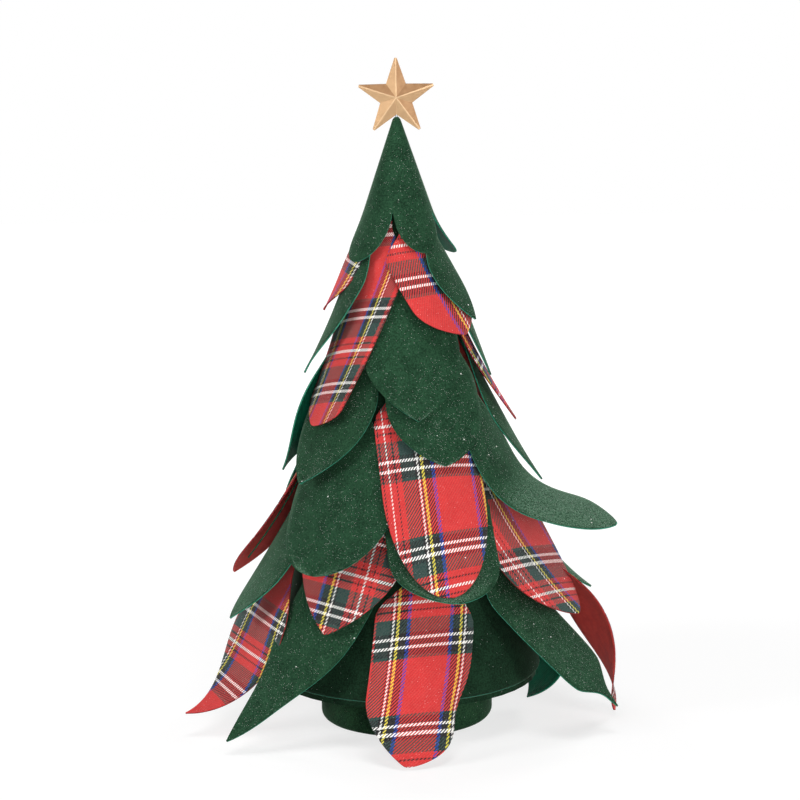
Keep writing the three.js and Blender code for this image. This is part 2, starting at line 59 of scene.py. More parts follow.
# %% The camera
IMAGE_PIXELS = 800
SENSOR = 36
FOCAL_PIXELS = 2529
CAMERA_BACK = 1500 * MM
CAMERA_HEIGHT = 458.6 * MM
CAMERA_DOWN = math.radians(9.93)
CAMERA_LEAN = math.radians(1.01)
SHIFT_PIXELS = 1.47


def make_camera():
    data = bpy.data.cameras.new("camera")
    data.sensor_width = SENSOR
    data.lens = SENSOR * FOCAL_PIXELS / IMAGE_PIXELS
    data.shift_x = -SHIFT_PIXELS / IMAGE_PIXELS
    camera = bpy.data.objects.new("camera", data)
    bpy.context.scene.collection.objects.link(camera)
    place = Matrix.Translation((0, -CAMERA_BACK, CAMERA_HEIGHT))
    look = Matrix.Rotation(math.pi / 2 - CAMERA_DOWN, 4, "X")
    lean = Matrix.Rotation(-CAMERA_LEAN, 4, "Z")
    camera.matrix_world = place @ look @ lean
    bpy.context.scene.camera = camera
    return camera


camera = make_camera()
print("lens in mm:", round(camera.data.lens, 1))

# %% [markdown]
# Colours are picked as they look on a screen, and nodes take them as amounts of light. So each colour is
# written as six hexadecimal digits, and one function turns it into light. Typing in the amounts of light
# would save the function, but nobody can picture a colour from them.

# %% Colours
def linear(channel):
    return channel / 12.92 if channel <= 0.04045 else ((channel + 0.055) / 1.055) ** 2.4


def colour(text):
    """A colour written as six hexadecimal digits, as the linear values that nodes take."""
    channels = [int(text[i : i + 2], 16) / 255 for i in (0, 2, 4)]
    return (*map(linear, channels), 1)


print("light in a middle grey:", round(colour("808080")[0], 3))

# %% [markdown]
# Materials are written as sums. A field is what one socket of a node gives at every point of a surface.
# Adding or multiplying two fields adds a Math node, so a mask reads like a line of algebra, and every
# other node comes from one method, which sets what the node is before it fills its sockets.

# %% Fields, for shader maths
class Field:
    """What one socket gives over a surface. Operators between fields add Math nodes."""

    def __init__(self, tree, socket=None):
        self.tree = tree
        self.socket = socket

    def node(self, kind, settings=(), sockets=(), output=0):
        """A node of a kind, with its settings, its sockets' values or links, and the output to read."""
        made = self.tree.nodes.new("ShaderNode" + kind)
        for name, value in dict(settings).items():
            if name == "stops":
                set_stops(made.color_ramp, value)
            else:
                setattr(made, name, value)
        for name, value in dict(sockets).items():
            if isinstance(value, Field):
                self.tree.links.new(value.socket, made.inputs[name])
            else:
                made.inputs[name].default_value = value
        return Field(self.tree, made.outputs[output])

    def math(self, operation, *values):
        return self.node("Math", {"operation": operation}, dict(enumerate(values)))

    def __add__(self, other):
        return self.math("ADD", self, other)

    def __sub__(self, other):
        return self.math("SUBTRACT", self, other)

    def __rsub__(self, other):
        return self.math("SUBTRACT", other, self)

    def __mul__(self, other):
        return self.math("MULTIPLY", self, other)

    def __truediv__(self, other):
        return self.math("DIVIDE", self, other)

    def __rtruediv__(self, other):
        return self.math("DIVIDE", other, self)

    def __lt__(self, other):
        return self.math("LESS_THAN", self, other)

    def __gt__(self, other):
        return self.math("GREATER_THAN", self, other)

    __radd__ = __add__
    __rmul__ = __mul__

    def floor(self):
        return self.math("FLOOR", self)

    def axis(self, name):
        """One axis of a vector, X, Y or Z."""
        return self.node("SeparateXYZ", {}, {0: self}, name)

    def place(self):
        """Where on the piece a point lies, in metres."""
        return self.node("TexCoord", output="Object")

    def facing(self):
        """Which way the surface faces."""
        return self.node("NewGeometry", output="Normal")

    def laid_out(self, layer):
        """Where a point lies on the flat cloth, in metres."""
        return self.node("UVMap", {"uv_map": layer})

    def between(self, low, high):
        """0 below low, 1 above high, and a smooth rise between them."""
        settings = {"interpolation_type": "SMOOTHSTEP"}
        return self.node("MapRange", settings, {"Value": self, "From Min": low, "From Max": high})

    def mix(self, mask, first, second):
        """The first colour where the mask is 0, the second where it is 1."""
        return self.node("Mix", {"data_type": "RGBA"}, {0: mask, 6: first, 7: second}, 2)

    def shade(self, mask, base):
        """The base colour times a grey: the mask, which may pass 1."""
        grey = self.node("CombineColor", {}, {0: mask, 1: mask, 2: mask})
        settings = {"data_type": "RGBA", "blend_type": "MULTIPLY"}
        return self.node("Mix", settings, {0: 1, 6: base, 7: grey}, 2)

    def noise(self, place, size, detail=2):
        """Soft random patches of a size in metres, from 0 to 1."""
        return self.node("TexNoise", {}, {"Vector": place, "Scale": 1 / size, "Detail": detail})


def set_stops(ramp, stops):
    """Stops of a ramp as pairs of position and colour. Each colour holds until the next stop."""
    ramp.interpolation = "CONSTANT"
    while len(ramp.elements) < len(stops):
        ramp.elements.new(1)
    for element, (position, shown) in zip(ramp.elements, stops):
        element.position = position
        element.color = shown


print("operators of a field:", [name for name in vars(Field) if name.startswith("__r")])

# %% [markdown]
# A finish is a material with one Principled shader. What is the same all over is set on the shader's own
# sockets, and only colour, roughness and relief are fed by fields. Noise gives values that crowd round
# the middle, so most patches are read between the same two levels, which spreads them out.

# %% A finish
PATCHES = (0.3, 0.7)


def new_finish(name, **constants):
    """A material, its shader, and a field to start from."""
    material = bpy.data.materials.new(name)
    material.use_nodes = True
    shader = material.node_tree.nodes["Principled BSDF"]
    for socket, value in constants.items():
        shader.inputs[socket.replace("_", " ")].default_value = value
    return material, shader, Field(material.node_tree)


def feed(shader, field, socket):
    field.tree.links.new(field.socket, shader.inputs[socket])


def raise_surface(shader, height, depth):
    """Relief: a height from 0 to 1, worth a depth in metres."""
    bump = height.node("Bump", {}, {"Height": height, "Distance": depth, "Strength": 1.0})
    feed(shader, bump, "Normal")


print("levels of a patch:", PATCHES)

# %% [markdown]
# Loose glitter was shaken over the tree while its glue was wet. Most of it is as fine as dust, and a few
# flakes are large enough to catch the eye. Voronoi cells give one possible flake each, and a random
# number per cell decides whether there is one, so it never lies in rows. Where more landed, in drifts and
# on parts that lie level, more cells pass. A flake could be a mesh of its own, but thousands of them
# would weigh more than the tree.

# %% Glitter
DUST_CELL = 0.8 * MM
DUST_SIZE = 0.15  # of a cell
DUST_SHARE = 0.55  # of the cells, where most landed
DUST_SHINE = 0.7
FLAKE_CELL = 5 * MM
FLAKE_SIZE = 0.085  # of a cell, as for the dust
FLAKE_SHARE = 0.16
DRIFT = 28 * MM


def specks(start, place, cell, size, share):
    """1 on a speck and 0 elsewhere, where the share of the cells that hold one is a field."""
    settings = {"voronoi_dimensions": "3D", "feature": "F1"}
    sockets = {"Vector": place, "Scale": 1 / cell}
    distance = start.node("TexVoronoi", settings, sockets, "Distance")
    pick = start.node("TexVoronoi", settings, sockets, "Color")
    chance = start.node("SeparateColor", {}, {0: pick}, 0)
    return (distance < size) * (chance < share)


def glitter(start, place, amount):
    """How much a point shines with glitter, from 0 to 1."""
    level = start.facing().axis("Z").between(0.25, 0.8)
    drift = start.noise(place, DRIFT, 1).between(0.42, 0.72) * 0.8 + level * 0.8
    dust = specks(start, place, DUST_CELL, DUST_SIZE, (drift + 0.25) * (DUST_SHARE * amount))
    flakes = specks(start, place, FLAKE_CELL, FLAKE_SIZE, (drift + 0.4) * (FLAKE_SHARE * amount))
    return start.math("MAXIMUM", dust * DUST_SHINE, flakes)


print("dust grain in mm:", round(DUST_CELL * DUST_SIZE * 2 / MM, 2))

# %% [markdown]
# Flocked velvet is a dense pile of very short fibres. It is dark where you look along the fibres and
# pale where you look across them, which the shader's sheen gives, and where the pile was brushed it
# lies in patches. A part that lies level is painted paler, as light from above falls on it, and the
# rest is painted a little darker, as painted shade. Level parts also hold dust in the pile. Hair could
# stand for the fibres, but they are finer than a pixel, so a fine noise gives them in the colour and in
# the relief.

# %% Velvet
PILE = 0.9 * MM
PILE_DEPTH = 0.15 * MM
PILE_SHARE = 0.66  # of the tone, and the brushed patches give the rest
BRUSHED = 9 * MM
PAINTED_TOP_LIGHT = 0.22
PAINTED_UPRIGHT_SHADE = 0.03
PILE_DUST = 0.42
MATT = 0.95


def velvet_finish(name, dark, light, amount):
    material, shader, start = new_finish(
        name, Roughness=MATT, Sheen_Weight=0.32, Sheen_Roughness=0.35, Sheen_Tint=colour("9fc4a8"),
        Specular_IOR_Level=0.1,
    )
    place = start.place()
    pile = start.noise(place, PILE, 2)
    brushed = start.noise(place, BRUSHED, 3)
    level = start.facing().axis("Z")
    # Painted light: parts that face up are painted paler, and the rest a little darker.
    painted_light_by_facing = level.between(0.45, 0.85) * PAINTED_TOP_LIGHT - PAINTED_UPRIGHT_SHADE
    tone = pile.between(0.36, 0.64) * PILE_SHARE + brushed.between(*PATCHES) * (1 - PILE_SHARE) + painted_light_by_facing
    cloth = start.mix(tone, colour(dark), colour(light))
    dust = level.between(0.5, 0.95) * pile.between(*PATCHES) * PILE_DUST
    dusty = start.mix(dust, cloth, colour("7fa68c"))
    shine = glitter(start, place, amount)
    feed(shader, start.mix(shine, dusty, colour("f2f4ee")), "Base Color")
    feed(shader, MATT - shine * 0.6, "Roughness")
    raise_surface(shader, pile, PILE_DEPTH)
    return material


velvet = velvet_finish("green_velvet", "112a1b", "274a33", 1.0)
# Painted shade: a darker copy of the leaves' velvet, for the shadow that the leaves cast on the cone.
shaded_cone_velvet = velvet_finish("green_velvet_painted_shade_on_the_cone", "091c10", "193523", 0.15)
foot_velvet = velvet_finish("green_velvet_on_the_foot", "12291b", "27492f", 0.2)
print("velvet:", velvet.name, shaded_cone_velvet.name, foot_velvet.name)

# %% [markdown]
# The tartan is a twill. Each warp thread passes over two weft threads and under two, and each row
# starts one thread further on, so the cloth shows slanted lines. The colours follow one list of stripes
# that is mirrored at both ends, in the warp and in the weft. So the colour of a thread is read from its
# number, and the colour of the cloth is that of the thread that lies on top. Drawing an image would be
# easier, but this stays sharp at any distance. Wear, fluff and a little glitter lie over the weave, and
# shade is painted into the grooves between the threads.

# %% Tartan
WARP_THREAD = 0.42 * MM
WEFT_THREAD = 0.59 * MM
TWILL_REPEAT = 4
TWILL_OVER = 2
TWILL_DEPTH = 0.08 * MM
WORN = 6 * MM
FLUFF = 0.6 * MM
DYES = {
    "red": colour("d0302f"),
    "green": colour("1f3d38"),
    "black": colour("100f12"),
    "blue": colour("1c3fa8"),
    "white": colour("f6f4f0"),
    "yellow": colour("f0e04a"),
}
# Half of the pattern each way, from the single white line to the middle of the red square
WARP_STRIPES = [
    ("white", 0.6), ("red", 2.7), ("black", 0.8), ("red", 3.2), ("green", 7.6), ("black", 1.2),
    ("white", 1.6), ("black", 1.2), ("yellow", 1.4), ("black", 4.2), ("blue", 2.4), ("red", 11.5),
]
WEFT_STRIPES = [
    ("white", 0.75), ("red", 3.2), ("black", 1.2), ("red", 3.6), ("green", 8.3), ("black", 2.5),
    ("white", 2.0), ("black", 3.3), ("white", 2.0), ("black", 3.9), ("green", 2.0), ("red", 16.4),
]


def thread_colours(start, number, thread, stripes):
    """The colour of each thread of one set, from its number."""
    half = sum(width for _, width in stripes) * MM
    folded = start.math("PINGPONG", (number + 0.5) * thread, half) / half
    stops, passed = [], 0
    for dye, width in stripes:
        stops.append((passed * MM / half, DYES[dye]))
        passed += width
    return start.node("ValToRGB", {"stops": stops}, {"Fac": folded})


def tartan_finish(name):
    material, shader, start = new_finish(name, Sheen_Weight=0.08, Specular_IOR_Level=0.25)
    spot = start.laid_out("cut")
    warp = spot.axis("X") / WARP_THREAD
    weft = start.laid_out("weave").axis("Y") / WEFT_THREAD
    over = start.math("FLOORED_MODULO", warp.floor() + weft.floor(), TWILL_REPEAT) < TWILL_OVER
    warp_colour = thread_colours(start, warp.floor(), WARP_THREAD, WARP_STRIPES)
    weft_number = (spot.axis("Y") / WEFT_THREAD).floor()
    weft_colour = thread_colours(start, weft_number, WEFT_THREAD, WEFT_STRIPES)
    woven = start.mix(over, weft_colour, warp_colour)
    ridge = start.math("PINGPONG", warp * over + weft * (1 - over), 0.5) * 2
    place = start.place()
    worn = start.noise(place, WORN, 2).between(0.2, 0.8)
    fluff = start.noise(place, FLUFF, 2).between(*PATCHES)
    lifted = start.mix(fluff * 0.04, woven, colour("f0e6e0"))
    # Painted shade: the ridge term darkens the colour in the grooves between threads, and the warp floats
    # are a little darker than the weft floats; worn patches are paler.
    shown = start.shade(0.8 + ridge * 0.25 - over * 0.14 + worn * 0.1, lifted)
    shine = glitter(start, place, 0.3)
    feed(shader, start.mix(shine, shown, colour("f4f2ec")), "Base Color")
    feed(shader, 0.88 - shine * 0.5, "Roughness")
    raise_surface(shader, ridge, TWILL_DEPTH)
    return material


tartan = tartan_finish("red_tartan")
print("stripes in half the warp:", len(WARP_STRIPES))

# %% [markdown]
# The backs are satin ribbon cloth with fine ribs across the leaf, teal behind velvet and red behind
# tartan. Where the leaf was cut, its edge shows the backing as a thin line of frayed threads. The ribs
# could be mesh, but at ten to the centimetre they are relief, as the twill is. Their grooves are painted
# darker and their crests paler, as painted shade and light, over patches of the cloth's own tone.

# %% Backings and cut edges
RIB = 0.9 * MM
RIB_DEPTH = 0.15 * MM
CLOUD = 5 * MM
FRAY = 0.8 * MM
FRAY_DEPTH = 0.1 * MM


def ribbed_finish(name, shaded_groove, lit_crest, roughness):
    material, shader, start = new_finish(name, Specular_IOR_Level=0.3)
    rib = start.math("PINGPONG", start.laid_out("cut").axis("Y") / RIB, 0.5) * 2
    cloudy = start.noise(start.place(), CLOUD, 3)
    # Painted shade and light: the grooves of the ribs darker and the crests paler; the cloudy patches are
    # the cloth's own tone.
    tone = rib.between(0.1, 0.8) * 0.6 + cloudy.between(*PATCHES) * 0.4
    feed(shader, start.mix(tone, colour(shaded_groove), colour(lit_crest)), "Base Color")
    feed(shader, roughness + cloudy * 0.2, "Roughness")
    raise_surface(shader, rib, RIB_DEPTH)
    return material


def edge_finish(name, dark, light):
    material, shader, start = new_finish(name, Specular_IOR_Level=0.2)
    frayed = start.noise(start.place(), FRAY, 3)
    feed(shader, start.mix(frayed.between(*PATCHES), colour(dark), colour(light)), "Base Color")
    feed(shader, 0.7 + frayed * 0.3, "Roughness")
    raise_surface(shader, frayed, FRAY_DEPTH)
    return material


teal_back = ribbed_finish("teal_backing", "04664a", "138a66", 0.45)
red_back = ribbed_finish("red_backing", "cc3634", "ea544a", 0.6)
teal_edge = edge_finish("teal_cut_edge", "1f6b52", "3f947a")
red_edge = edge_finish("red_cut_edge", "6e1c20", "a03034")
print("backs and edges:", [finish.name for finish in (teal_back, red_back, teal_edge, red_edge)])

# %% [markdown]
# Each leaf is cut with one of three dies and glued to the cone by its upper end. These are the sizes of
# the cone, the cloth and the dies, the same as those of the solids, so that the cloth lies where they do.

# %% Sizes of the cone and the leaves
CONE_RADIUS = 82.5
CONE_APEX = 371
CONE_BOTTOM = 30.6
CONE_TOP = 358
CONE_SLOPE = math.atan(CONE_RADIUS / (CONE_APEX - CONE_BOTTOM))
SEAT = 0.3
CLOTH = 0.9
LEAF_ROOT = 8
DIES = {"small": (85, 46), "medium": (108, 56), "large": (132, 62)}


def cone_radius_at(height):
    return (CONE_APEX - height) * math.tan(CONE_SLOPE)


print("slope of the cone in degrees:", round(math.degrees(CONE_SLOPE), 2))

# %% [markdown]
# A leaf differs from a plain one in a few measures only, so the plain one is written down once. Angles
# are in degrees, lengths in millimetres, and the rest are shares.
# Pitch lifts a leaf off the cone at its root, flare adds to that by the tip, and curl adds to the last
# part. Lean and sweep turn it to the right, and twist turns it about its own length. Long and wide are
# shares of the die. Grown is where it reaches its full width, fades is where it begins to narrow, and
# round makes its tip blunt. Hug is how closely it bends round the cone.
# The cloth then settles. Thin takes width off the whole leaf, and slim takes a share off between two
# places. Turned and unwound turn the leaf back about its length, in the middle and at the tip. Bow and
# hook move it aside, stand and ripple move its edges out, and fold turns its right edge back. Wave gives
# it a height, the place where that crosses zero, and a length, and droop lowers the tip.
# The sett is where the middle line and the root lie in the pattern of the tartan, skew is how the pattern
# slants, and a leaf that is gathered shows more of the pattern across it.

# %% A plain leaf
HABIT = dict(
    pitch=5, flare=0, curl=0, lean=0, sweep=0, twist=0,
    long=1, wide=1, grown=0.5, fades=0.55, round=0.2, hug=0.85,
    thin=1, slim=(0, 0.35, 1), turned=0, unwound=0, bow=0, hook=0,
    stand=0, ripple=0.5, fold=(0.5, 0.2, 0), wave=(0, 0.7, 0.5), droop=0,
    sett=(0, 0), skew=(0, 0), gathered=1,
)


def leaf(name, cloth, cut, around, up, **own):
    return SimpleNamespace(**{**HABIT, **own}, name=name, cloth=cloth, cut=cut, around=around, up=up)


print("measures of a leaf:", len(HABIT))

# %% [markdown]
# One entry for each leaf, from the lowest row up: its name, its cloth and its die, then where its root
# is glued, as an azimuth from the front and a share of the cone's height, and what makes it its own.
# Placing them by rule would be quicker, but each leaf of a handmade tree hangs its own way.

# %% The leaves
LEAVES = [
    leaf("f1", "velvet", "large", 98, 0.2, long=0.75, curl=-70, turned=-30),
    leaf("f3", "velvet", "large", 196, 0.27, long=0.95, flare=16),
    leaf("f2", "tartan", "large", 158, 0.26, long=0.95, flare=18),
    leaf("f4", "tartan", "large", -142, 0.26, long=0.95, flare=18),
    leaf("f5", "tartan", "large", 85.5, 0.25, long=1.04, wide=0.8, pitch=46, flare=-55, twist=-26,
         turned=-19, unwound=44, droop=6, wave=(-3, 0.35, 1.3)),
    leaf("f6", "tartan", "large", -72, 0.24, long=0.96, wide=0.95, grown=0.4, fades=0.45, round=0,
         hug=0.3, pitch=30, flare=-44, curl=85, twist=-24, slim=(0.5, 0.45, 1.05), bow=3.5, hook=1,
         sett=(35.2, 26.1)),
    leaf("f7", "tartan", "large", 13, 0.24, long=0.93, wide=0.96, grown=0.3, fades=0.7, round=0.4,
         flare=10, lean=-4, sweep=-12.5, bow=-1.5, fold=(0.7, 0.14, 7), sett=(35.7, 73.3),
         skew=(0.08, 0.3)),
    leaf("f8", "velvet", "large", -27.5, 0.26, long=1.06, wide=0.68, grown=0.15, fades=0.45, flare=28,
         lean=-6, sweep=-27, thin=1.22, slim=(0.38, 0.35, 0.8), bow=-6, hook=-1, droop=4),
    leaf("f9", "velvet", "large", 44, 0.26, long=0.97, wide=0.68, grown=0.3, fades=0.72, round=0.4,
         pitch=10, flare=35, lean=17, thin=0.95, slim=(0.7, 0.8, 0.94), bow=2, hook=3, droop=14),
    leaf("e1", "velvet", "medium", -96, 0.41, long=0.95, flare=18),
    leaf("e2", "velvet", "medium", 100, 0.4, long=1.08, wide=0.8, flare=34, turned=14),
    leaf("e4", "velvet", "large", 178, 0.42, flare=16),
    leaf("e3", "tartan", "large", 144, 0.42, flare=18),
    leaf("e5", "tartan", "large", 218, 0.42, flare=18),
    leaf("e6", "velvet", "medium", -76, 0.385, flare=27, lean=5, thin=0.9),
    leaf("e7", "tartan", "large", 56.5, 0.44, long=0.96, fades=0.65, round=0.5, flare=28, lean=4.5,
         fold=(0.45, 0.3, -6), sett=(20.9, 87.6), skew=(-0.27, 0)),
    leaf("e8", "tartan", "large", -19, 0.45, long=0.92, wide=1.12, flare=4, lean=-7, sett=(61.2, 14.8)),
    leaf("e9", "velvet", "large", 21, 0.44, long=0.78, wide=1.1, grown=0.4, fades=0.7, round=0.7,
         pitch=7, flare=10, curl=24, lean=-3),
    leaf("d1", "tartan", "large", -100, 0.5, wide=0.8, fades=0.7, flare=22, twist=16),
    leaf("d2", "velvet", "large", 112, 0.53, long=0.9, flare=10),
    leaf("d4", "velvet", "large", 200, 0.54, flare=14),
    leaf("d3", "tartan", "large", 156, 0.54, flare=14),
    leaf("d5", "velvet", "medium", 236, 0.54, flare=14),
    leaf("d7", "velvet", "large", -35, 0.52, long=0.86, wide=1.22, round=1, pitch=7, flare=8, hook=-3,
         stand=2),
    leaf("d6", "tartan", "large", 17.3, 0.57, long=1.08, wide=1.02, grown=0.25, round=1, pitch=9,
         flare=8, sweep=-3, sett=(26.3, 60.6), skew=(-0.13, 0.36)),
    leaf("d8", "velvet", "large", 48, 0.6, long=1.2, wide=0.76, fades=0.8, round=0.6, pitch=7,
         flare=21, curl=64, lean=10, bow=-3.5, hook=0.5, wave=(7, 0.68, 0.56)),
    leaf("c1", "velvet", "medium", 94, 0.65, long=1.12, wide=0.7, grown=0.6, pitch=6, flare=14,
         turned=10),
    leaf("c3", "velvet", "medium", 172, 0.66, flare=12),
    leaf("b1", "velvet", "medium", -94, 0.65, pitch=6, flare=8, turned=28),
    leaf("c2", "tartan", "medium", 128, 0.64, wide=0.75, flare=14, thin=0.8, bow=5, hook=5),
    leaf("c4", "tartan", "medium", 214, 0.64, wide=0.8, flare=12),
    leaf("c5", "velvet", "medium", -40, 0.65, flare=10, lean=-6, stand=1.5),
    leaf("c6", "velvet", "medium", 28.5, 0.67, long=0.92, wide=1.1, fades=0.62, round=0.5, flare=4,
         lean=-3, stand=2),
    leaf("b3", "tartan", "medium", 94, 0.73, wide=0.75, flare=14, sett=(38.4, 11.3)),
    leaf("b2", "tartan", "medium", -104, 0.74, long=0.84, wide=0.5),
    leaf("b5", "velvet", "medium", 198, 0.73, wide=0.6, flare=12),
    leaf("b4", "velvet", "medium", 142, 0.74, wide=0.6, flare=12),
    leaf("b6", "velvet", "medium", 12, 0.75, long=0.93, wide=1.08, flare=4, lean=-1, stand=2.5),
    leaf("a3", "velvet", "medium", 92, 0.78, long=0.86, wide=0.7, pitch=6),
    leaf("a5", "velvet", "small", 216, 0.78, flare=12),
    leaf("a4", "tartan", "small", 146, 0.78, wide=0.7, flare=12),
    leaf("a7", "tartan", "large", -24.8, 0.81, long=0.98, wide=0.67, grown=0.2, fades=0.86, round=0.3,
         flare=4, lean=-8, sweep=-2, twist=10, sett=(37.2, 16.1), skew=(0.33, 0.05), gathered=1.75),
    leaf("a6", "tartan", "small", 19.5, 0.81, long=0.9, grown=0.27, fades=0.65, round=0.4, pitch=8,
         flare=10, lean=12, fold=(0.2, 0.25, 5), sett=(54, 82.2), skew=(-0.25, 0)),
    leaf("a8", "velvet", "medium", -52, 0.8, long=0.9, wide=0.65, grown=0.4, pitch=8, flare=5, lean=-8,
         twist=20, thin=0.85, bow=2.5),
    leaf("a1", "tartan", "small", -80, 0.81, long=0.72, wide=0.8, grown=0.25, pitch=8, flare=6, lean=-2,
         twist=10, turned=-8, sett=(43.5, 96.6)),
    leaf("a2", "velvet", "small", 58, 0.81, long=0.8, wide=0.65, pitch=12, flare=8, thin=0.88, bow=-4),
]
print("leaves:", len(LEAVES), "of tartan:", sum(row.cloth == "tartan" for row in LEAVES))

# %% [markdown]
# The middle line of a leaf is walked in small steps, from its root to its tip. At each place the cone's
# own directions are turned by the pitch, the turn and the twist, which gives the way along the leaf, the
# way across it and the way out of its face.

# %% Directions on a leaf
RISE_SHARE = 0.55  # of its length, in which a leaf climbs over those beneath it
CURL_SHARE = 0.4  # where along its length the curl of the tip begins
RISE_STEP = 0.4  # how far a leaf is moved out for each step that it is raised
LIFT_STEP = 0.5  # and the angle by which its root is lifted


def cone_directions(azimuth):
    """Down the side of the cone, out of it, and round it to the right."""
    sine, cosine = math.sin(azimuth), math.cos(azimuth)
    radial = np.array([sine, -cosine, 0])
    up = np.array([0, 0, 1])
    down = radial * math.sin(CONE_SLOPE) - up * math.cos(CONE_SLOPE)
    out = radial * math.cos(CONE_SLOPE) + up * math.sin(CONE_SLOPE)
    return down, out, np.array([cosine, sine, 0])


def leaf_directions(row, lift, place, share):
    down, out, side = cone_directions(math.atan2(place[0], -place[1]))
    climb = max(0, 1 - share / RISE_SHARE)
    tip = max(0, (share - CURL_SHARE) / (1 - CURL_SHARE))
    pitch = math.radians(row.pitch + row.flare * share + row.curl * tip**2 + lift * climb)
    turn = math.radians(row.lean + row.sweep * share)
    flat = down * math.cos(turn) + side * math.sin(turn)
    along = flat * math.cos(pitch) + out * math.sin(pitch)
    level = side * math.cos(turn) - down * math.sin(turn)
    twist = math.radians(row.twist * share)
    across = level * math.cos(twist) + np.cross(along, level) * math.sin(twist)
    return along, across, np.cross(along, across)


print("a quarter round, the way out is:", np.round(cone_directions(math.pi / 2)[1], 2))

# %% [markdown]
# The outline grows from the narrow root to the full width, and fades to the tip along part of an oval.
# The leaf is bent round its middle line, across its width, as a sheet that lies on a cone is. A flat
# shape could be pressed on to the cone with a modifier, but the free ends of these leaves stand off it.

# %% The form of a leaf
HUG_FROM_SHARE = 0.4


def half_width(row, share):
    """Half the width of the cut at a share of its length, in millimetres."""
    full = DIES[row.cut][1] * row.wide / 2
    if share < row.grown:
        grown = (1 - math.cos(share / row.grown * math.pi)) / 2
        return LEAF_ROOT / 2 + (full - LEAF_ROOT / 2) * grown
    past = max(0, (share - row.fades) / (1 - row.fades))
    return full * max(0, 1 - past * past) ** (1 - row.round / 2)


def leaf_stops(row, raised, shares, walk):
    """The share, the place and the three directions at each share, walked in steps between them."""
    length = DIES[row.cut][0] * row.long
    root = CONE_BOTTOM + row.up * (CONE_APEX - CONE_BOTTOM)
    _, out, side = cone_directions(math.radians(row.around))
    place = np.array([side[1], -side[0], 0]) * cone_radius_at(root) + np.array([0, 0, root])
    place = place + out * (SEAT + CLOTH / 2 + raised * RISE_STEP)
    before, stops = 0, []
    for share in shares:
        step = (share - before) / walk
        for j in range(walk):
            along, _, _ = leaf_directions(row, raised * LIFT_STEP, place, before + step * (j + 0.5))
            place = place + along * (length * step)
        before = share
        stops.append((share, place, leaf_directions(row, raised * LIFT_STEP, place, share)))
    return stops


def bent(row, stop, across, depth):
    """The place at a share from -1 to 1 across the leaf, at a depth towards its face."""
    share, place, (_, sideways, face) = stop
    hug = 1 + (row.hug - 1) * min(1, share / HUG_FROM_SHARE)
    bend = hug / math.hypot(place[0], place[1])
    angle = half_width(row, share) * across * bend
    sine, cosine = math.sin(angle), math.cos(angle)
    moved = sideways * (sine / bend) - face * ((1 - cosine) / bend)
    return place + moved + (sideways * sine + face * cosine) * depth


print("widest cut in mm:", max(round(2 * half_width(row, row.fades), 1) for row in LEAVES))

# %% [markdown]
# A leaf that lies over others stands further out. How far is read from the frame: the outline of the
# leaf is worked out for each number of steps, and the one whose box matches the solid's box is kept.
# Rows lie closer together near the tip, where the outline bends most, and more so on a round one.

# %% How far each leaf is raised
MOST_STEPS = 14
SOLID_STEPS = 8
SOLID_WALK = 10
SOLID_CROWD = (1.35, 0.33)  # for a pointed tip, and what a round one adds


def shares_along(row, steps, crowd):
    """Shares of the length from root to tip, closer together towards the tip."""
    power = crowd[0] + crowd[1] * row.round
    return [1 - (1 - i / steps) ** power for i in range(steps + 1)]


def box_misfit(row, raised):
    """How far the corners of the leaf's box lie from those of its solid, in millimetres."""
    shares = shares_along(row, SOLID_STEPS, SOLID_CROWD)
    stops = leaf_stops(row, raised, shares, SOLID_WALK)
    sides = (-1, -0.5, 0, 0.5, 1)
    depths = (-CLOTH / 2, CLOTH / 2)
    tip = stops[-1][1]
    edges = [bent(row, stop, across, depth) for stop in stops[:-1] for across in sides for depth in depths]
    places = np.array(edges + [tip])
    low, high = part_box("leaf_" + row.name)
    return np.abs(places.min(0) * MM - low).max() / MM + np.abs(places.max(0) * MM - high).max() / MM


misfits = []
for row in LEAVES:
    tried = {steps: box_misfit(row, steps) for steps in range(MOST_STEPS)}
    row.raised = min(tried, key=tried.get)
    misfits.append(tried[row.raised])
print("most steps:", max(row.raised for row in LEAVES), "largest misfit in mm:", round(max(misfits), 3))

# %% [markdown]
# Every piece is made from rings of points, with quads between neighbouring rings. A ring is cut into
# stretches that are the face, the cut edge and the lining, and each stretch has its own finish. Two maps
# go with the mesh of a leaf. They say where each point lay on the flat cloth, for the pattern.

# %% Mesh helpers
FACE, EDGE, BACK = 0, 1, 2


def new_piece(name, points, faces, finishes, chosen, spots=None, smooth=True):
    """A mesh piece. Each face has a finish by number, each corner spots on the flat cloth, in metres."""
    mesh = bpy.data.meshes.new(name)
    mesh.from_pydata([tuple(p) for p in points], [], faces)
    for finish in finishes:
        mesh.materials.append(finish)
    mesh.polygons.foreach_set("material_index", chosen)
    mesh.polygons.foreach_set("use_smooth", [smooth] * len(faces))
    corners = np.empty(len(mesh.loops), dtype=np.int32)
    mesh.loops.foreach_get("vertex_index", corners)
    for layer, marks in (spots or {}).items():
        values = np.asarray(marks, dtype=np.float32)[corners]
        mesh.uv_layers.new(name=layer).data.foreach_set("uv", values.ravel())
    mesh.update()
    piece = bpy.data.objects.new(name, mesh)
    bpy.context.scene.collection.objects.link(piece)
    return piece


def joined(rings, kinds):
    """Quads between closed rings of equal length. A kind is the finish of each stretch of a ring."""
    count = len(rings[0])
    faces, chosen = [], []
    for i in range(len(rings) - 1):
        for j in range(count):
            k = (j + 1) % count
            faces.append((i * count + j, i * count + k, (i + 1) * count + k, (i + 1) * count + j))
            chosen.append(kinds[j])
    return faces, chosen


print("quads between two rings of four points:", len(joined([[0] * 4] * 2, [FACE] * 4)[0]))

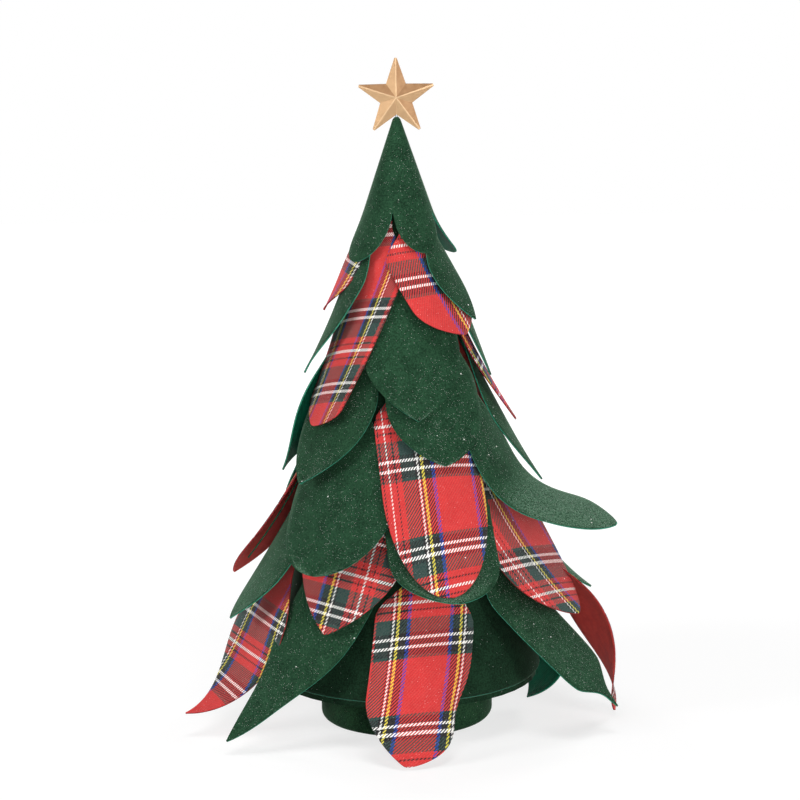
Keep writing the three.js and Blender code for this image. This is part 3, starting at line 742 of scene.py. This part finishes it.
# %% [markdown]
# Cloth that hangs is never as even as its cut. The upper part is glued down and the lower part is free,
# so these bends grow along the free part. A cloth simulation would bend the leaves too, but in its own
# way each time a size changes, and every leaf here has to hang as the real one does.

# %% How a leaf settles
FREE_FROM_SHARE = 0.35
FOLD_REACH = 50  # the depth at which a fold would take up the whole right half
RIPPLE_RATE = 9
RIPPLE_SPLIT = 1.3  # between the two edges of a leaf
RIPPLE_DRIFT = 40  # degrees round the cone from one leaf's ripple to the next


def free_share(share):
    """How far down its free part a place on a leaf lies, from 0 to 1."""
    return max(0, share - FREE_FROM_SHARE) / (1 - FREE_FROM_SHARE)


def kept_width(row, share):
    """The share of its full width that a leaf keeps, at a place along it."""
    loss, first, last = row.slim
    past = min(1, max(0, (share - first) / (last - first)))
    return row.thin * (1 - loss * past**2 * (3 - 2 * past))


def fold_at(row, share):
    """How far the right edge of a leaf is folded back, in millimetres."""
    middle, spread, depth = row.fold
    return depth * math.exp(-(((share - middle) / spread) ** 2))


def ripple_at(row, share, across):
    """How far the free edge of a leaf waves out of its face, in millimetres."""
    phase = row.around / RIPPLE_DRIFT + (RIPPLE_SPLIT if across > 0 else 0)
    wave = row.ripple * math.sin(share * RIPPLE_RATE + phase) + row.stand
    return free_share(share) * across**2 * wave - fold_at(row, share) * max(0, across) ** 2


def settled(row, stop, place):
    """A place turned about the middle line of the leaf, and moved aside and out."""
    share, middle, (along, sideways, face) = stop
    arch = math.sin(math.pi * share)
    free = free_share(share)
    angle = math.radians(row.turned * arch + row.unwound * free**2)
    turn = Matrix.Rotation(angle, 3, tuple(along))
    aside = row.bow * arch + row.hook * free**3
    height, crossing, stretch = row.wave
    rise = height * free * math.sin(math.tau * (share - crossing) / stretch) - row.droop * free**3
    return middle + np.array(turn @ Vector(place - middle)) + sideways * aside + face * rise


print("leaves with a wave of their own:", [row.name for row in LEAVES if row.wave[0]])

# %% [markdown]
# A ring goes once round the leaf: over its face, round the cut edge, and back along the lining. The two
# corners of the cut are broken by a narrow slope, so that they catch a line of light, and a point closes
# the ring at the root and at the tip.

# %% Rings of a leaf
LEAF_ROWS = 40
LEAF_COLUMNS = 14
LEAST_HALF = 0.2
EDGE_SLOPE = 0.16
TIP_SHARE = 0.998


def leaf_ring(row, stop, length):
    """Places round a leaf from its right edge, over the face and back, and where they lay on the cloth."""
    share = stop[0]
    half = max(half_width(row, share), LEAST_HALF)
    slope = min(EDGE_SLOPE, half / 3)
    inner = 1 - slope / half
    sides = [inner * (1 - 2 * i / LEAF_COLUMNS) for i in range(LEAF_COLUMNS + 1)]
    thick = CLOTH / 2
    outline = [(1, thick - slope)] + [(a, thick) for a in sides] + [(-1, thick - slope)]
    outline += [(-1, slope - thick)] + [(a, -thick) for a in reversed(sides)] + [(1, slope - thick)]
    kept = kept_width(row, share)
    folded = 1 - fold_at(row, share) / FOLD_REACH
    outline = [(a * kept * (folded if a > 0 else 1), d + ripple_at(row, share, a)) for a, d in outline]
    places = [settled(row, stop, bent(row, stop, a, d)) * MM for a, d in outline]
    lengthwise = length * share + row.sett[1]
    tilt = row.skew[0] + row.skew[1] * share
    widths = [half * a for a, _ in outline]
    spots = [((w * row.gathered + row.sett[0]) * MM, (lengthwise + w * tilt) * MM) for w in widths]
    return places, spots, [(spot[0], lengthwise * MM) for spot in spots]


RING_KINDS = [FACE] * (LEAF_COLUMNS + 2) + [EDGE] + [BACK] * (LEAF_COLUMNS + 2) + [EDGE]
print("points in a ring:", len(RING_KINDS))

# %% [markdown]
# Each leaf becomes one closed mesh, velvet with a teal back or tartan with a red one. It takes the place
# of its solid.

# %% Making the leaves
AREA_STEPS = 200
LEAF_WALK = 3
LEAF_CROWD = (1.3, 0.4)
CLOTHS = {"velvet": [velvet, teal_edge, teal_back], "tartan": [tartan, red_edge, red_back]}


def cloth_area(row):
    """Area of the cut leaf in square metres."""
    length = DIES[row.cut][0] * row.long
    shares = [(i + 0.5) / AREA_STEPS for i in range(AREA_STEPS)]
    widths = [2 * half_width(row, share) * kept_width(row, share) for share in shares]
    return sum(widths) / AREA_STEPS * length * MM * MM


def make_leaf(row):
    length = DIES[row.cut][0] * row.long
    shares = [TIP_SHARE * share for share in shares_along(row, LEAF_ROWS, LEAF_CROWD)]
    stops = leaf_stops(row, row.raised, shares, LEAF_WALK)
    rings, spots, straight = zip(*[leaf_ring(row, stop, length) for stop in stops])
    faces, chosen = joined(rings, RING_KINDS)
    points = [p for ring in rings for p in ring]
    marks = {"cut": sum(spots, []), "weave": sum(straight, [])}
    count = len(rings[0])
    last = (len(rings) - 1) * count
    root, tip = len(points), len(points) + 1
    points += [np.mean(rings[0], axis=0), np.mean(rings[-1], axis=0)]
    for layer in marks.values():
        layer += [layer[0], layer[-1]]
    for j in range(count):
        k = (j + 1) % count
        faces += [(root, k, j), (last + j, last + k, tip)]
        chosen += [EDGE, EDGE]
    piece = new_piece("cloth_leaf_" + row.name, points, faces, CLOTHS[row.cloth], chosen, marks)
    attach(piece, "root")
    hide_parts("leaf_" + row.name)
    cloth_area(row)
    return piece


leaves = [make_leaf(row) for row in LEAVES]
print("leaves made:", len(leaves), "faces in each:", len(leaves[0].data.polygons))

# %% [markdown]
# The covers of the cone and of the foot are cloth pulled tight over foam, so both are turned about the
# middle axis from a profile. A modifier could turn it, but here each stretch of the profile gets its own
# finish. Tight cloth over foam still shows a slight unevenness, so each point is moved in or out by a
# smooth sum of waves.

# %% Turning a profile
TURNED_SIDES = 160
CORNER_STEPS = 6


def quarter(radius, height, rounding, first, last):
    """Pairs of radius and height on part of a circle, from one angle to another."""
    angles = [math.radians(first + (last - first) * i / CORNER_STEPS) for i in range(CORNER_STEPS + 1)]
    return [(radius + rounding * math.cos(a), height + rounding * math.sin(a)) for a in angles]


def spread(start, end, steps):
    """Pairs between two pairs, without the first and with the last."""
    return [tuple(np.array(start) + (np.array(end) - start) * i / steps) for i in range(1, steps + 1)]


def unevenness(angle):
    """A smooth sum of waves round the axis."""
    return math.sin(3 * angle + 1) + 0.6 * math.sin(7 * angle + 2) + 0.4 * math.sin(13 * angle)


def turn_piece(name, profile, kinds, finishes, uneven=0.0):
    """A closed profile turned about the middle axis. Each stretch of it has its own finish."""
    rings, spots = [], []
    for i in range(TURNED_SIDES):
        angle = math.tau * i / TURNED_SIDES
        wave = uneven * unevenness(angle)
        ring = [((r + wave) * math.sin(angle), -(r + wave) * math.cos(angle), h) for r, h in profile]
        rings.append([np.array(p) * MM for p in ring])
        spots += [(angle * profile[0][0] * MM, h * MM) for _, h in profile]
    points = [p for ring in rings for p in ring]
    faces, chosen = joined(rings + rings[:1], kinds)
    faces = [tuple(v % len(points) for v in face) for face in faces]
    return new_piece(name, points, faces, finishes, chosen, {"cut": spots})


def stretches(outside, inside):
    """The finish of each stretch of a profile: the face, the cut edge, the lining and the other edge."""
    return [FACE] * (len(outside) - 1) + [EDGE] + [BACK] * (len(inside) - 1) + [EDGE]


print("corner of a profile:", np.round(quarter(0, 0, 1, -90, 0)[0], 2), "to", quarter(0, 0, 1, -90, 0)[-1])

# %% [markdown]
# The cone's cover runs from the cut top, under the cap, down to the lower edge, where it is turned under.
# The lining shows there as a thin teal line round the rim. It is the ground that all leaves lie on. Its
# velvet is painted darker than theirs, as painted shade from the leaves over it, and little glitter
# reached it.

# %% The cover of the cone
VELVET = 1.2
HEM = 14
CONE_EDGE = 3
SLANT_STEPS = 60
RIM_STRETCH = 3
UNEVEN = 0.12


def cone_cover():
    straight = CONE_BOTTOM + CONE_EDGE
    outer = cone_radius_at(straight)
    hem = CONE_RADIUS - HEM
    top = (cone_radius_at(CONE_TOP), CONE_TOP)
    outside = [(hem, CONE_BOTTOM)] + quarter(outer - CONE_EDGE, straight, CONE_EDGE, -90, 0)
    outside += spread(outside[-1], top, SLANT_STEPS)
    inside = [(top[0] - VELVET, CONE_TOP)]
    inside += quarter(outer - CONE_EDGE, straight, CONE_EDGE - VELVET, 0, -90)
    inside += [(hem, CONE_BOTTOM + VELVET)]
    kinds = stretches(outside, inside)
    kinds[RIM_STRETCH] = EDGE
    finishes = [shaded_cone_velvet, teal_edge, teal_back]
    return turn_piece("cone_cover", outside + inside, kinds, finishes, UNEVEN)


cover = cone_cover()
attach(cover, "root")
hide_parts("cone_cloth")
slant = (CONE_TOP - CONE_BOTTOM) / math.cos(CONE_SLOPE)
side_area = math.pi * (CONE_RADIUS + cone_radius_at(CONE_TOP)) * slant
hem_area = math.pi * (CONE_RADIUS**2 - (CONE_RADIUS - HEM) ** 2)
cover_area = (side_area + hem_area) * MM * MM
print("cone cover, square metres:", round(cover_area, 4))

# %% [markdown]
# The foot's cover is a band drawn over a foam disc and turned in above and below. Its lower edge is
# rounded by the foam. Pulled cloth has no fold there, so the profile alone gives the form.

# %% The cover of the foot
PLINTH_RADIUS = 52.3
PLINTH_TOP = 27
PLINTH_EDGE = 4.5
PLINTH_SHOULDER = 2
FOOT_GAP = 0.6  # the pad holds the cover this far off the table
PAD_THICKNESS = 1.8


def foot_cover():
    hem = PLINTH_RADIUS - HEM
    low = (PLINTH_RADIUS - PLINTH_EDGE, FOOT_GAP + PLINTH_EDGE)
    high = (PLINTH_RADIUS - PLINTH_SHOULDER, PLINTH_TOP - PLINTH_SHOULDER)
    outside = [(hem, FOOT_GAP)] + quarter(*low, PLINTH_EDGE, -90, 0)
    outside += quarter(*high, PLINTH_SHOULDER, 0, 90) + [(hem, PLINTH_TOP)]
    inside = [(hem, PLINTH_TOP - VELVET)] + quarter(*high, PLINTH_SHOULDER - VELVET, 90, 0)
    inside += quarter(*low, PLINTH_EDGE - VELVET, 0, -90) + [(hem, FOOT_GAP + VELVET)]
    finishes = [foot_velvet, teal_edge, teal_back]
    return turn_piece("foot_cover", outside + inside, stretches(outside, inside), finishes, UNEVEN)


foot = foot_cover()
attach(foot, "root")
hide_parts("plinth_cloth")
print("foot cover, mm across and high:", 2 * PLINTH_RADIUS, PLINTH_TOP)

# %% [markdown]
# A disc of felt under the foot keeps it from scratching the table. Only its edge can ever be seen, as a
# line under the foot, so it is turned from six points and takes the foot's own cloth.

# %% The felt pad
PAD_RADIUS = 36
PAD_HOLE = 0.5
PAD_EDGE = 0.4


def foot_pad():
    profile = [
        (PAD_HOLE, 0),
        (PAD_RADIUS - PAD_EDGE, 0),
        (PAD_RADIUS, PAD_EDGE),
        (PAD_RADIUS, PAD_THICKNESS - PAD_EDGE),
        (PAD_RADIUS - PAD_EDGE, PAD_THICKNESS),
        (PAD_HOLE, PAD_THICKNESS),
    ]
    return turn_piece("felt_pad", profile, [FACE] * len(profile), [foot_velvet])


pad = foot_pad()
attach(pad, "root")
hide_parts("plinth_pad")
print("pad, mm across:", 2 * PAD_RADIUS)

# %% [markdown]
# The cap is one velvet cone whose lower edge is cut into four lobes. Each lobe stands away from the
# leaves under it by its own amount. It could be four leaves more, but the real one has no seams, so a
# ray is walked from the tip to the edge at each angle, and the rays are joined.

# %% The form of the cap
CAP_TOP = 365.9
CAP_TIP = 0.9
CAP_TIP_DEPTH = 2
CAP_SLOPE = 18
CAP_SLOPE_STEP = 0.25
CAP_NOTCH = 54
CAP_LOBE = 29
CAP_ROUND = 0.75
CAP_FLARE = 8
PIN_RADIUS = 0.65
# The middle and half the width of each lobe, in degrees, its share of the depth and of the flare
CAP_LOBES = [(-52, 43, 1, 0.5), (32, 41, 0.83, 0.5), (120, 47, 1, 1), (216, 49, 0.95, 0.75)]
SOLID_LOBE_STEPS = 9


def cap_place(angle, depth, flare, share, inset, slope):
    """The place on a ray of the cap at a share of its depth, set in from the face."""
    drop = depth * share
    below = max(0, drop - CAP_NOTCH) / CAP_LOBE
    tip = math.sin(min(1, drop / CAP_TIP_DEPTH) * math.pi / 2)
    radius = PIN_RADIUS + SEAT + CAP_TIP * tip + drop * math.tan(slope) + flare * below**2
    radius -= inset * math.cos(slope) * (share > 0)
    height = CAP_TOP - drop - inset * (math.sin(slope) if share > 0 else 1)
    return np.array([radius * math.sin(angle), -radius * math.cos(angle), height])


def cap_rays(steps):
    """The angle, the depth and the flare of each ray, from lobe to lobe."""
    rays = []
    for middle, half, deep, flare in CAP_LOBES:
        for i in range(steps):
            across = -1 + 2 * i / steps
            depth = CAP_NOTCH + CAP_LOBE * deep * (1 - across**2) ** CAP_ROUND
            rays.append((math.radians(middle + across * half), depth, CAP_FLARE * flare))
    return rays


def cap_slope():
    """The slope at which the lobes reach as far out as the solid's."""
    low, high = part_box("cap")
    tried = {}
    for steps in range(MOST_STEPS):
        slope = math.radians(CAP_SLOPE + steps * CAP_SLOPE_STEP)
        edge = np.array([cap_place(*ray, 1, 0, slope) for ray in cap_rays(SOLID_LOBE_STEPS)]) * MM
        tried[slope] = abs(edge[:, 0].max() - high[0]) + abs(edge[:, 0].min() - low[0])
    return min(tried, key=tried.get)


opened = cap_slope()
print("cap slope in degrees:", round(math.degrees(opened), 2))

# %% [markdown]
# Each ray is a closed ring: down the face to the cut edge, and up the lining to the tip. Rows lie closer
# together at the tip, which is small and round. The edge is broken by a slope as on the leaves.

# %% The cap
LOBE_STEPS = 26
CAP_ROWS = 44
CAP_CROWD = 1.5
CAP_GIRTH = 20  # radius at which the pattern of its cloth is laid out


def make_cap():
    rays = cap_rays(LOBE_STEPS)
    shares = [(i / CAP_ROWS) ** CAP_CROWD for i in range(CAP_ROWS + 1)]
    step = EDGE_SLOPE / CAP_NOTCH
    outer = [(s, 0) for s in shares[:-1]] + [(1 - step, 0), (1, EDGE_SLOPE)]
    inner = [(s, CLOTH) for s in shares[:-1]] + [(1 - step, CLOTH), (1, CLOTH - EDGE_SLOPE)]
    loop = outer + inner[::-1]
    rings = [[cap_place(*ray, s, inset, opened) * MM for s, inset in loop] for ray in rays]
    spots = [(ray[0] * CAP_GIRTH * MM, ray[1] * s * MM) for ray in rays for s, _ in loop]
    faces, chosen = joined(rings + rings[:1], stretches(outer, inner))
    points = [p for ring in rings for p in ring]
    faces = [tuple(v % len(points) for v in reversed(face)) for face in faces]
    return new_piece("cap_cloth", points, faces, CLOTHS["velvet"], chosen, {"cut": spots})


cap = make_cap()
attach(cap, "root")
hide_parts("cap")
print("points in the cap:", len(cap.data.vertices))

# %% [markdown]
# The star is cast and sprayed a warm matt gold. Light is painted into the gold: the facets that face
# down and to the left are painted paler, as if lit from there, and a painted highlight runs along the
# ridges. An angle about the middle, folded five times, tells how far a place is from a ridge. The solid
# is right as it is and keeps its mesh.

# %% The gold of the star
STAR_MIDDLE = 377.2
STAR_ARMS = 5
RIDGE_NEAR = 0.15 * MM
RIDGE_FAR = 0.55 * MM
RIDGE_HIGHLIGHT = 0.6
SPRAY_CLOUD = 4 * MM
SPRAY_GRAIN = 0.5 * MM
SPRAY_DEPTH = 0.15 * MM
PAINTED_LIGHT_SHARE = 0.85


def star_finish():
    material, shader, start = new_finish("gold_with_painted_light", Metallic=0.45, Specular_IOR_Level=0.4)
    place = start.place()
    across, height = place.axis("X"), place.axis("Z") - STAR_MIDDLE * MM
    angle = start.math("PINGPONG", start.math("ARCTAN2", across, height), math.pi / STAR_ARMS)
    off_ridge = start.math("SQRT", across * across + height * height) * start.math("SINE", angle)
    # Painted highlight along the ridges.
    ridge = 1 - off_ridge.between(RIDGE_NEAR, RIDGE_FAR)
    facing = start.facing()
    cloudy = start.noise(place, SPRAY_CLOUD, 4)
    grain = start.noise(place, SPRAY_GRAIN, 2)
    # Painted light: paler on facets that face down and to the left, darker on those that face up.
    thick = (1.07 - facing.axis("Z") * 1.15 - facing.axis("X") * 0.6).between(0.4, 1.65)
    tone = thick * PAINTED_LIGHT_SHARE + cloudy.between(0.25, 0.75) * (1 - PAINTED_LIGHT_SHARE)
    sprayed = start.mix(tone, colour("7d5836"), colour("c8a47b"))
    feed(shader, start.mix(ridge * RIDGE_HIGHLIGHT, sprayed, colour("d6b690")), "Base Color")
    feed(shader, 0.38 + grain * 0.2, "Roughness")
    raise_surface(shader, cloudy * 0.6 + grain * 0.4, SPRAY_DEPTH)
    return material


gold = star_finish()
print("nodes in the star's finish:", len(gold.node_tree.nodes))

# %% [markdown]
# The rest is foam, board, wood and wire, and all but a rim of it is hidden. Each solid keeps its mesh and
# gets two tones in patches of the size that its material shows. The board has the cone's cloth on it.

# %% The hard pieces
def plain_finish(name, dark, light, size, roughness, **constants):
    """A finish of two tones in patches of one size, for pieces that are mostly hidden."""
    material, shader, start = new_finish(name, **constants)
    patches = start.noise(start.place(), size, 4)
    feed(shader, start.mix(patches.between(*PATCHES), colour(dark), colour(light)), "Base Color")
    feed(shader, roughness + patches * 0.15, "Roughness")
    raise_surface(shader, patches, size * 0.1)
    return material


HARD_FINISHES = {
    "star": gold,
    "star_pin": plain_finish("steel_pin", "8b8f93", "b4b7ba", 1 * MM, 0.3, Metallic=1.0),
    # The board takes the cone's velvet, with its painted shade.
    "cone_board": shaded_cone_velvet,
    "cone_core": plain_finish("cone_foam", "d9dad2", "f0f0ea", 2 * MM, 0.85),
    "plinth_core": plain_finish("foot_foam", "d9dad2", "f0f0ea", 2 * MM, 0.85),
    "joining_dowel": plain_finish("beech", "b98f5c", "d6b183", 3 * MM, 0.6),
    "leaf_d1_wire": plain_finish("coated_wire", "134a30", "1f6a45", 1 * MM, 0.4),
}
for name, finish in HARD_FINISHES.items():
    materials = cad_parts[name].data.materials
    materials.clear()
    materials.append(finish)
print("hard pieces finished:", len(HARD_FINISHES))

# %% [markdown]
# The floor is plain and pale. For the camera, part of it is a white glow and the rest is the floor as it
# is lit, so that it comes out white and still keeps the soft shadow of the tree. Further away the lamps
# reach it less, and the glow's share grows there. A pure white glow would lose the shadow, and brighter
# lamps would bleach the cloth.

# %% The floor
FLOOR_SIZE = 6  # metres
FLOOR_GLOW = 1.4
GLOW_NEAR = 0.5  # the glow's share beside the tree
GLOW_GAIN = 0.25  # and what it gains beyond the reach of the shadow
SHADOW_REACH = 0.25  # metres


def make_floor():
    half = FLOOR_SIZE / 2
    corners = [(-half, -half, 0), (half, -half, 0), (half, half, 0), (-half, half, 0)]
    material, shader, start = new_finish("pale_floor", Roughness=0.9, Specular_IOR_Level=0.0)
    shader.inputs["Base Color"].default_value = colour("dcdcdc")
    glow = start.node("Emission", {}, {"Color": (1, 1, 1, 1), "Strength": FLOOR_GLOW})
    seen = start.node("LightPath", {}, {}, "Is Camera Ray")
    distance = start.node("VectorMath", {"operation": "LENGTH"}, {0: start.place()}, "Value")
    share = distance.between(SHADOW_REACH, 3 * SHADOW_REACH) * GLOW_GAIN + GLOW_NEAR
    lit = Field(start.tree, shader.outputs[0])
    both = start.node("MixShader", {}, {0: seen * share, 1: lit, 2: glow})
    start.tree.links.new(both.socket, start.tree.nodes["Material Output"].inputs["Surface"])
    floor = new_piece("floor", corners, [(0, 1, 2, 3)], [material], [0], smooth=False)


make_floor()
print("floor, metres across:", FLOOR_SIZE)

# %% [markdown]
# Round the studio everything is white where it is seen, in the gold too, and nearly dark as a light, so
# that the lamps alone give the cloth its tones.

# %% The white surroundings
WORLD_LIGHT = 0.06


def make_world():
    world = bpy.data.worlds.new("studio")
    world.use_nodes = True
    bpy.context.scene.world = world
    start = Field(world.node_tree)
    white = (1, 1, 1, 1)
    light = start.node("Background", {}, {"Color": white, "Strength": WORLD_LIGHT})
    shown = start.node("Background", {}, {"Color": white, "Strength": 1.0})
    camera_ray = start.node("LightPath", {}, {}, "Is Camera Ray")
    glossy_ray = start.node("LightPath", {}, {}, "Is Glossy Ray")
    clear_ray = start.node("LightPath", {}, {}, "Is Transmission Ray")
    seen = start.math("MINIMUM", camera_ray + glossy_ray + clear_ray, 1.0)
    both = start.node("MixShader", {}, {0: seen, 1: light, 2: shown})
    start.tree.links.new(both.socket, start.tree.nodes["World Output"].inputs["Surface"])


make_world()
print("light from the surroundings:", WORLD_LIGHT)

# %% [markdown]
# Square lamps in front, at both sides, above and behind light the cloth evenly, at a level where a colour
# comes out about as it is written. One lamp would be simpler, but its shadows between the leaves would
# be black, and the photographed tree has soft ones.

# %% The lamps
LAMP_SIZE = 0.5  # metres
LAMP_AIM = 0.2  # metres above the floor


def make_lamp(name, azimuth, elevation, distance, power):
    """A lamp that looks at the middle of the tree from an azimuth and an elevation, in degrees."""
    data = bpy.data.lights.new(name, "AREA")
    data.size = LAMP_SIZE
    data.energy = power
    lamp = bpy.data.objects.new(name, data)
    bpy.context.scene.collection.objects.link(lamp)
    turn, rise = math.radians(azimuth), math.radians(elevation)
    back = np.array([math.sin(turn) * math.cos(rise), -math.cos(turn) * math.cos(rise), math.sin(rise)])
    middle = np.array([0, 0, LAMP_AIM])
    facing = Matrix.Rotation(turn, 4, "Z") @ Matrix.Rotation(math.pi / 2 - rise, 4, "X")
    lamp.matrix_world = Matrix.Translation(middle + back * distance) @ facing


# Name, azimuth, elevation, distance in metres and power in watts
LAMPS = [
    ("lamp_front", 6, 8, 1.8, 12),
    ("lamp_right", 46, 6, 1.6, 12),
    ("lamp_left", -64, 16, 1.6, 13),
    ("lamp_top", 6, 66, 1.5, 8),
    ("lamp_back_left", -140, 22, 1.7, 9),
    ("lamp_back_right", 140, 22, 1.7, 9),
]
for lamp in LAMPS:
    make_lamp(*lamp)
bpy.context.scene.view_settings.view_transform = "Standard"
print("lamps:", len(LAMPS), "watts in all:", sum(power for *_, power in LAMPS))

# %% [markdown]
